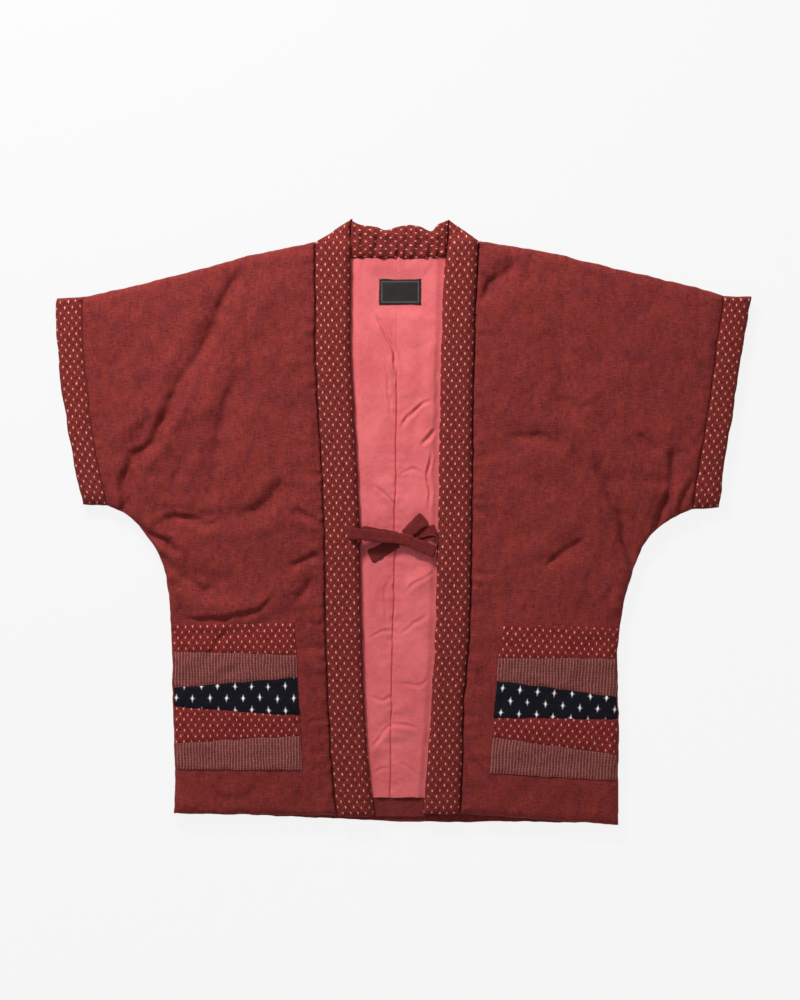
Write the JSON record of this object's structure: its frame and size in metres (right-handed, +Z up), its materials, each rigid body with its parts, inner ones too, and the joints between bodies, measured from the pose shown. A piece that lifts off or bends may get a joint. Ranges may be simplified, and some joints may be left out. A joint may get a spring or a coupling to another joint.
{
  "type": "hanten",
  "caption": "Short-sleeved padded jacket laid flat, front up, with a long kasuri collar band, kasuri cuffs, pieced patch pockets, a pink lining and a small tied bow.",
  "frame": {"origin": "middle of the laid-out outline, on the surface it lies on", "axes": "+X toward the wearer's left sleeve, +Y toward the neck, +Z up from the surface"},
  "size_m": [0.8686, 0.757, 0.0269],
  "materials": {
    "shell": "matte, dark red slubby plain weave over cotton wadding",
    "lining": "smooth pink plain weave",
    "facing": "matte dark red plain weave",
    "dots": "matte dark red kasuri with staggered pale dots",
    "check": "matte red and grey small check",
    "crosses": "matte navy kasuri with staggered pale crosses",
    "ties": "matte dark red plain weave",
    "label": "black woven tape"
  },
  "bodies": {
    "root": {"back_right": "shell", "front_right": "shell", "cuff_right": "dots", "lining_right": "lining", "hem_facing_right": "facing", "collar_right": "dots", "pocket_right_1": "dots", "pocket_right_2": "check", "pocket_right_3": "crosses", "pocket_right_4": "dots", "pocket_right_5": "check", "back_left": "shell", "front_left": "shell", "cuff_left": "dots", "lining_left": "lining", "hem_facing_left": "facing", "collar_left": "dots", "pocket_left_1": "dots", "pocket_left_2": "check", "pocket_left_3": "crosses", "pocket_left_4": "dots", "pocket_left_5": "check", "collar_back": "dots", "label": "label", "knot": "ties", "tie_right": "ties", "tie_left": "ties", "tail_right": "ties", "tail_left": "ties", "loop_right": "ties", "loop_left": "ties"}
  },
  "joints": []
}
